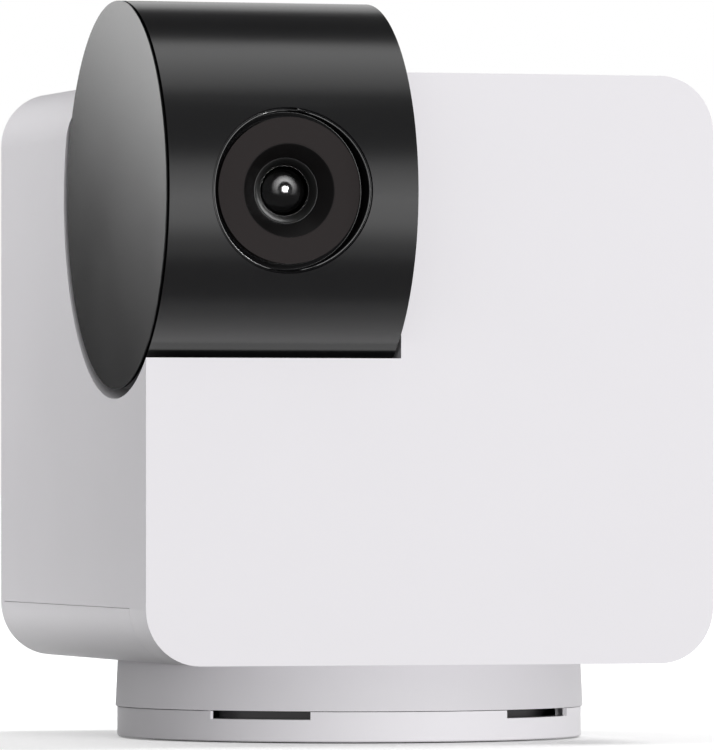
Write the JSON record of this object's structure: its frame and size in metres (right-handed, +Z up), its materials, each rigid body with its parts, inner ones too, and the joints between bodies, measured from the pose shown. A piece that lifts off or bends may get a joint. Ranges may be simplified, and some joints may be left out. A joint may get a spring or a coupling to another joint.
{
  "type": "pan and tilt pet camera",
  "caption": "White cube-shaped pet camera that pans on a low round base, with a black barrel-shaped head tilting in its upper left front edge.",
  "frame": {"origin": "on the pan axis, in the plane that the rubber foot rests on", "axes": "+Z up along the pan axis, +Y to the back of the cube, +X to the right of someone who faces the lens"},
  "size_m": [0.079, 0.0887, 0.0995],
  "materials": {
    "shell_white": "fine satin, moulded",
    "gloss_black": "gloss, moulded",
    "satin_black": "satin",
    "bezel_black": "matt, with polished edges",
    "dark_window": "satin, lets infrared through",
    "lens_glass": "coated, polished",
    "lens_black": "matt",
    "foot_rubber": "matt",
    "plate_steel": "zinc plated",
    "plate_black": "black phosphate",
    "screw_steel": "zinc plated",
    "insert_brass": "turned",
    "gear_white": "natural",
    "motor_metal": "plated",
    "board_green": "solder mask",
    "chip_black": "moulded",
    "sink_aluminium": "anodised",
    "tin_shield": "tinned",
    "antenna_film": "film",
    "speaker_plastic": "moulded",
    "speaker_paper": "pulp",
    "plug_cream": "moulded",
    "lead_grey": "smooth",
    "pipe_clear": "clear",
    "button_grey": "moulded"
  },
  "bodies": {
    "base": {"foot_pad": "foot_rubber", "base_tray": "shell_white", "ballast_plate": "plate_black", "tripod_insert": "insert_brass", "pan_gear": "gear_white", "glide_ring": "gear_white", "pan_retainer": "plate_steel", "base_screws": "screw_steel"},
    "turret": {"turntable_skirt": "shell_white", "bottom_cover": "shell_white", "main_housing": "shell_white", "back_cover": "shell_white", "cover_screws": "screw_steel", "pan_bush": "gear_white", "tilt_bush": "gear_white", "pan_motor": "motor_metal", "tilt_motor": "motor_metal", "motor_screws": "screw_steel", "main_board": "board_green", "board_screws": "screw_steel", "board_chips": "chip_black", "heatsink": "sink_aluminium", "wifi_shield": "tin_shield", "wifi_antenna": "antenna_film", "voice_boot": "foot_rubber", "power_board": "board_green", "usb_port": "tin_shield", "reset_switch": "chip_black", "light_pipe": "pipe_clear", "speaker_frame": "speaker_plastic", "speaker_cone": "speaker_paper", "speaker_magnet": "plate_steel", "lead_plugs": "plug_cream", "wiring": "lead_grey", "head_cable": "lead_grey"},
    "head": {"head_barrel": "gloss_black", "head_end_cap": "satin_black", "lens_bezel": "bezel_black", "ir_window": "dark_window", "lens_hood": "lens_black", "ir_board": "board_green", "ir_leds": "pipe_clear", "lens_barrel": "lens_black", "front_lens": "lens_glass", "inner_lens": "lens_glass", "lens_holder": "lens_black", "image_sensor": "chip_black", "sensor_board": "board_green", "sensor_screws": "screw_steel", "head_lead": "lead_grey", "tilt_gear": "gear_white", "tilt_gear_screws": "screw_steel"},
    "pan_drive": {"pan_pinion": "insert_brass", "pan_pinion_shaft": "motor_metal"},
    "tilt_drive": {"tilt_pinion": "insert_brass", "tilt_pinion_shaft": "motor_metal"},
    "button": {"reset_button": "button_grey"},
    "filter": {"ircut_carrier": "lens_black", "filter_glass": "lens_glass"}
  },
  "joints": [
    {"name": "pan", "type": "hinge", "parent": "base", "child": "turret", "pos_m": [0, 0, 0.0107], "axis": [0, 0, 1], "range_deg": [-170, 170]},
    {"name": "tilt", "type": "hinge", "parent": "turret", "child": "head", "pos_m": [-0.0221, -0.02324, 0.07355], "axis": [-1, 0, 0], "range_deg": [-25, 65]},
    {"name": "pan_pinion_spin", "type": "hinge", "parent": "turret", "child": "pan_drive", "pos_m": [-0.01883, -0.01176, 0.0075], "axis": [0, 0, 1], "range_deg": [-729, 729]},
    {"name": "tilt_pinion_spin", "type": "hinge", "parent": "turret", "child": "tilt_drive", "pos_m": [0.0008, -0.0177, 0.05833], "axis": [-1, 0, 0], "range_deg": [-186, 72]},
    {"name": "reset_press", "type": "slide", "parent": "turret", "child": "button", "axis": [0, -1, 0], "range_m": [0, 0.0006], "stiffness_N_per_m": 400, "springref_m": -0.0006},
    {"name": "filter_slide", "type": "slide", "parent": "head", "child": "filter", "axis": [1, 0, 0], "range_m": [0, 0.004]}
  ],
  "couplings": [
    {"joint": "pan_pinion_spin", "follows": "pan", "ratio": 4.2857},
    {"joint": "tilt_pinion_spin", "follows": "tilt", "ratio": -2.8571}
  ]
}
